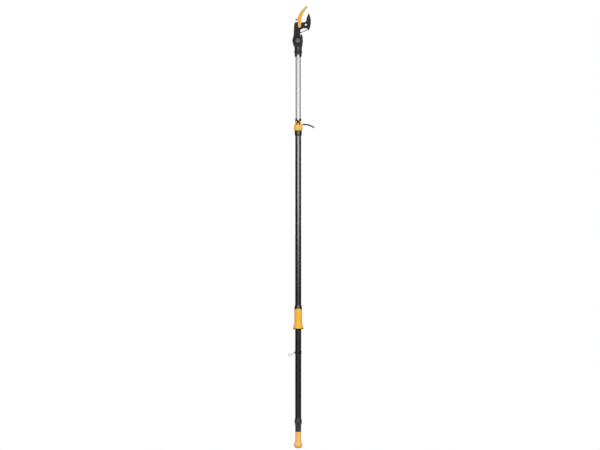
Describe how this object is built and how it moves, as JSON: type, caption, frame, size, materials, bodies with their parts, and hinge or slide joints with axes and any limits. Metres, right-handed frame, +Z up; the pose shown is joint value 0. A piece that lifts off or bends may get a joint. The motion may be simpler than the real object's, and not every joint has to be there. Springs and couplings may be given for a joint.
{
  "type": "telescopic tree pruner pole",
  "caption": "Telescopic tree pruner: tilting bypass head with hook and geared blade, clamped sliding tube, strap-driven pull grip and end pull handle.",
  "frame": {"origin": "centre of the end handle's bottom face, on the tube axis", "axes": "+Z up the pole towards the cutting head, +X towards the blade's side, -Y towards the front of the head"},
  "size_m": [0.1417, 0.0584, 2.3998],
  "materials": {
    "hook_paint": "orange powder coat",
    "blade_coat": "black low-friction coat",
    "orange_plastic": "satin moulded",
    "black_plastic": "fine moulded grain",
    "black_gloss": "smooth moulded",
    "silver_tube": "satin anodised",
    "black_tube": "black satin coat",
    "grey_disc": "satin moulded",
    "olive_lever": "moulded",
    "grey_lever": "moulded",
    "strap_web": "woven polyamide",
    "spring_wire": "drawn wire",
    "drive_metal": "sintered",
    "black_steel": "black oxide",
    "zinc_steel": "zinc plated"
  },
  "bodies": {
    "pole": {"outer_tube": "black_tube", "clamp_bush": "black_gloss", "clamp_collar": "orange_plastic", "clamp_sleeve": "black_gloss", "clamp_shoe": "black_plastic", "clamp_pin": "black_steel", "catch_saddle": "black_plastic", "catch_screw": "black_steel", "end_collar": "black_gloss"},
    "mast": {"inner_tube": "silver_tube", "guide_plug": "black_plastic", "tilt_fork": "black_plastic", "socket_screws": "black_steel", "lock_pin": "black_steel"},
    "head": {"hook": "hook_paint", "pivot_bolt": "zinc_steel", "head_housing": "black_plastic", "head_cover": "black_plastic", "cover_screws": "black_steel", "drum_axle": "zinc_steel", "drive_strap": "strap_web", "return_spring": "spring_wire", "spring_post": "black_steel", "tilt_pin": "black_steel", "tilt_nut": "black_steel", "strap_bush": "zinc_steel", "tilt_disc": "grey_disc"},
    "blade": {"cutting_blade": "blade_coat", "spring_pin": "black_steel"},
    "drum": {"gear_drum": "drive_metal"},
    "lock_lever": {"lock_lever": "olive_lever"},
    "block": {"strap_block": "drive_metal", "sheave_pin": "zinc_steel", "pull_strap": "strap_web", "draw_strap": "strap_web"},
    "sheave": {"strap_sheave": "drive_metal"},
    "clamp_lever": {"clamp_lever": "grey_lever"},
    "grip": {"grip_sleeve": "orange_plastic", "grip_ring": "black_gloss", "grip_carriage": "black_plastic", "carriage_screws": "black_steel"},
    "end_handle": {"end_handle": "orange_plastic", "lower_strap": "strap_web", "anchor_pin": "zinc_steel"},
    "wire_catch": {"wire_catch": "spring_wire"}
  },
  "joints": [
    {"name": "pole_extend", "type": "slide", "parent": "pole", "child": "mast", "axis": [0, 0, 1], "range_m": [0, 0.75]},
    {"name": "head_tilt", "type": "hinge", "parent": "mast", "child": "head", "pos_m": [-0.002, 0, 2.2113], "axis": [0, -1, 0], "range_deg": [-105, 105]},
    {"name": "blade_swing", "type": "hinge", "parent": "head", "child": "blade", "pos_m": [0.007, 0, 2.2903], "axis": [0, -1, 0], "range_deg": [0, 44.01], "deforming": ["return_spring"]},
    {"name": "drum_spin", "type": "hinge", "parent": "head", "child": "drum", "pos_m": [-0.00594, 0, 2.26491], "axis": [0, 1, 0], "range_deg": [0, 234.8]},
    {"name": "lock_rock", "type": "hinge", "parent": "mast", "child": "lock_lever", "pos_m": [0.0186, 0, 2.1808], "axis": [0, 1, 0], "range_deg": [0, 10], "stiffness_Nm_per_rad": 0.3, "springref_deg": -5.73},
    {"name": "block_slide", "type": "slide", "parent": "mast", "child": "block", "axis": [0, 0, -1], "range_m": [0, 0.0551]},
    {"name": "sheave_spin", "type": "hinge", "parent": "block", "child": "sheave", "pos_m": [0, 0.002, 0.911], "axis": [0, 1, 0], "range_deg": [0, 421]},
    {"name": "clamp_fold", "type": "hinge", "parent": "pole", "child": "clamp_lever", "pos_m": [0.0227, 0, 1.7523], "axis": [0, 1, 0], "range_deg": [0, 72]},
    {"name": "grip_slide", "type": "slide", "parent": "pole", "child": "grip", "axis": [0, 0, -1], "range_m": [0, 0.11], "stiffness_N_per_m": 300, "springref_m": -0.05},
    {"name": "handle_pull", "type": "slide", "parent": "pole", "child": "end_handle", "axis": [0, 0, -1], "range_m": [0, 0.1101]},
    {"name": "catch_swing", "type": "hinge", "parent": "pole", "child": "wire_catch", "pos_m": [-0.0199, 0, 0.518], "axis": [0, 1, 0], "range_deg": [0, 78]}
  ],
  "couplings": [
    {"joint": "blade_swing", "follows": "grip_slide", "rad_per_m": 6.9813},
    {"joint": "drum_spin", "follows": "grip_slide", "rad_per_m": 37.234},
    {"joint": "block_slide", "follows": "grip_slide", "ratio": 0.5},
    {"joint": "sheave_spin", "follows": "grip_slide", "rad_per_m": 66.667},
    {"joint": "handle_pull", "follows": "grip_slide", "ratio": 1}
  ]
}
